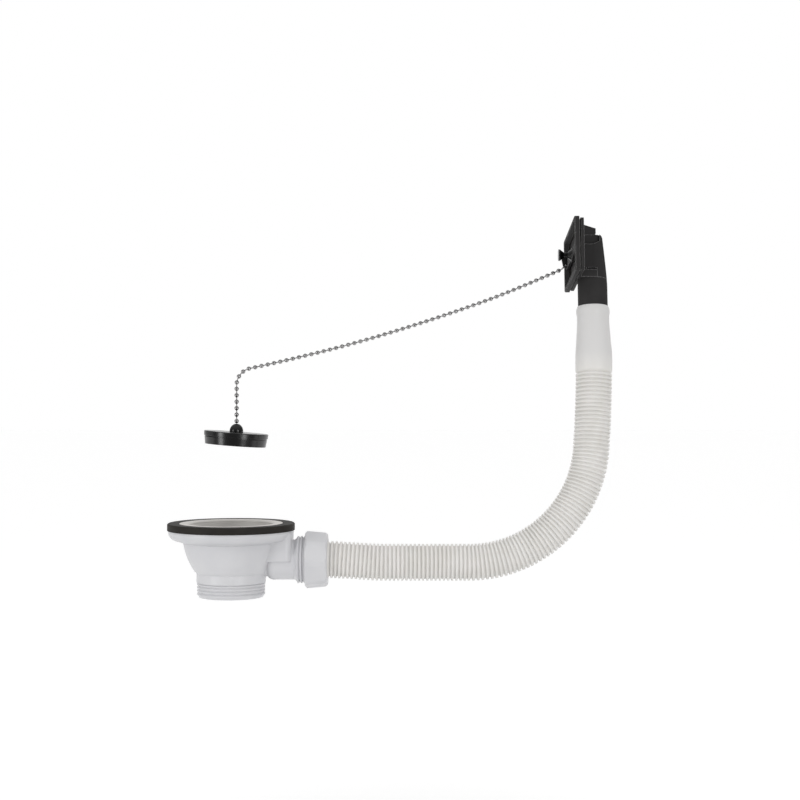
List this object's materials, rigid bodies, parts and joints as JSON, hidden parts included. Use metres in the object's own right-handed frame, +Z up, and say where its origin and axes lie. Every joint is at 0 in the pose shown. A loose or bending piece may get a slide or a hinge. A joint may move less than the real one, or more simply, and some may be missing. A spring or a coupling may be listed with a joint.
{
  "type": "sink waste kit",
  "caption": "Kitchen sink strainer waste with a corrugated overflow hose, an overflow head and a plug on a ball chain.",
  "frame": {"origin": "on the strainer's axis, in the plane of the seal's upper face, which seats under the sink", "axes": "+Z up along the strainer's axis, +X towards the overflow hose, +Y to the back"},
  "size_m": [0.3162, 0.1191, 0.2685],
  "materials": {
    "white_plastic": "moulded white polypropylene, smooth and slightly glossy",
    "hose_plastic": "off-white extruded hose plastic, satin",
    "black_plastic": "moulded black plastic, satin",
    "plug_black": "glossy black moulded plug",
    "black_rubber": "dull black sealing rubber",
    "stainless": "polished stainless sheet",
    "nickel": "bright nickel plate",
    "brass": "turned brass"
  },
  "bodies": {
    "kit": {"body_seal": "black_rubber", "flange_gasket": "black_rubber", "strainer_flange": "stainless", "centre_screw": "stainless", "insert_nut": "brass", "strainer_body": "white_plastic", "overflow_nut": "white_plastic", "hose_seal": "black_rubber", "overflow_hose": "hose_plastic", "overflow_elbow": "black_plastic", "overflow_gasket": "black_rubber", "overflow_face": "black_plastic", "chain_post": "black_plastic", "chain_loop": "nickel", "chain_balls": "nickel", "chain_links": "nickel"},
    "chain_end": {"chain_end": "nickel"},
    "plug": {"plug": "plug_black", "plug_knob": "plug_black"}
  },
  "joints": [
    {"name": "chain_swivel", "type": "hinge", "parent": "kit", "child": "chain_end", "pos_m": [0.0038, 0, 0.0669], "axis": [0, 0, 1], "continuous": true},
    {"name": "plug_swing", "type": "hinge", "parent": "chain_end", "child": "plug", "pos_m": [0.0038, 0, 0.0669], "axis": [0, 1, 0], "range_deg": [-19, 10]}
  ]
}
